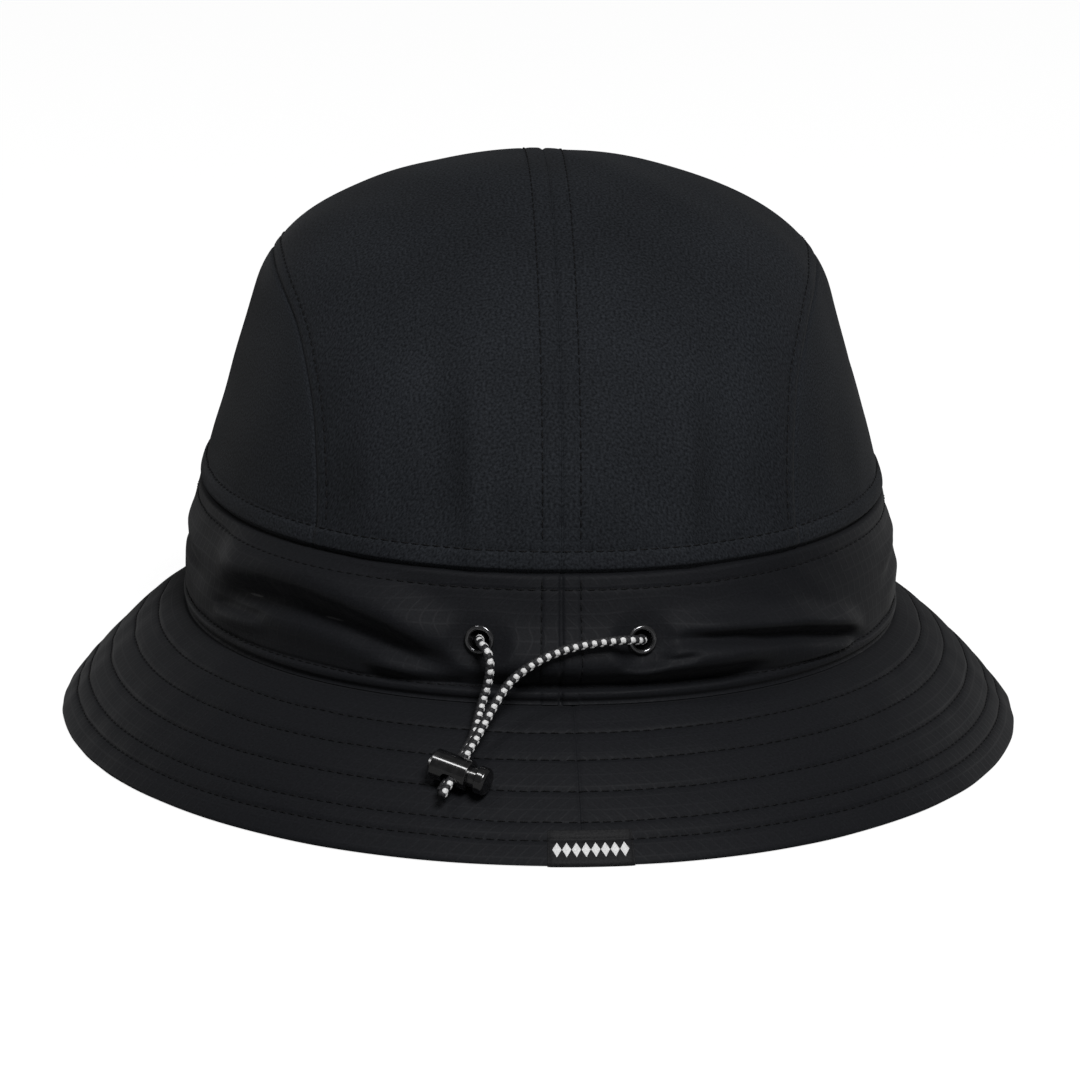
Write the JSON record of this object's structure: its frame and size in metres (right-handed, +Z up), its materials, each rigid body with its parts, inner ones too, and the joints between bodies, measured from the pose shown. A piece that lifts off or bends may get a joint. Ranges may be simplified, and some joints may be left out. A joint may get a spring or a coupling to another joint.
{
  "type": "bucket hat",
  "caption": "Soft bucket hat with an arched-panel crown, a stitched sloping brim, and an elastic drawcord with a spring toggle at the back.",
  "frame": {"origin": "middle of the flat plane that the edge of the brim rests on", "axes": "+Z up through the crown, +Y the way the wearer faces, +X the wearer's right; the drawcord is at the back, -Y"},
  "size_m": [0.245, 0.2815, 0.144],
  "materials": {
    "crown_cloth": "matte stretch woven",
    "ripstop": "matte ripstop woven",
    "seam_tape": "woven binding",
    "sweatband_cloth": "soft wicking knit",
    "label_satin": "plain satin",
    "interlining": "non-woven",
    "woven_tag": "damask woven with small white marks",
    "eyelet_metal": "gloss black enamel",
    "cord_braid": "round braid with white flecks",
    "lock_plastic": "gloss moulded",
    "spring_steel": "bright wire"
  },
  "bodies": {
    "hat": {"crown_top_left": "crown_cloth", "crown_top_right": "crown_cloth", "crown_side_left": "crown_cloth", "crown_side_right": "crown_cloth", "seam_tape_centre": "seam_tape", "seam_tape_left": "seam_tape", "seam_tape_right": "seam_tape", "band": "ripstop", "cord_channel": "seam_tape", "sweatband": "sweatband_cloth", "care_label": "label_satin", "brim_top_left": "ripstop", "brim_top_right": "ripstop", "brim_stiffener": "interlining", "brim_under_left": "ripstop", "brim_under_right": "ripstop", "brim_tag": "woven_tag", "eyelet_left": "eyelet_metal", "eyelet_right": "eyelet_metal", "eyelet_washer_left": "eyelet_metal", "eyelet_washer_right": "eyelet_metal", "drawcord": "cord_braid", "cord_tail_left": "cord_braid", "cord_tail_right": "cord_braid"},
    "lock": {"lock_barrel": "lock_plastic", "lock_spring": "spring_steel"},
    "plunger": {"lock_plunger": "lock_plastic"}
  },
  "joints": [
    {"name": "lock_slide", "type": "slide", "parent": "hat", "child": "lock", "axis": [0.4784, 0.6162, 0.6256], "range_m": [0, 0.006]},
    {"name": "plunger_press", "type": "slide", "parent": "lock", "child": "plunger", "axis": [-0.8626, 0.4633, 0.2033], "range_m": [0, 0.0018], "stiffness_N_per_m": 1500, "springref_m": -0.0015, "deforming": ["lock_spring"]}
  ]
}
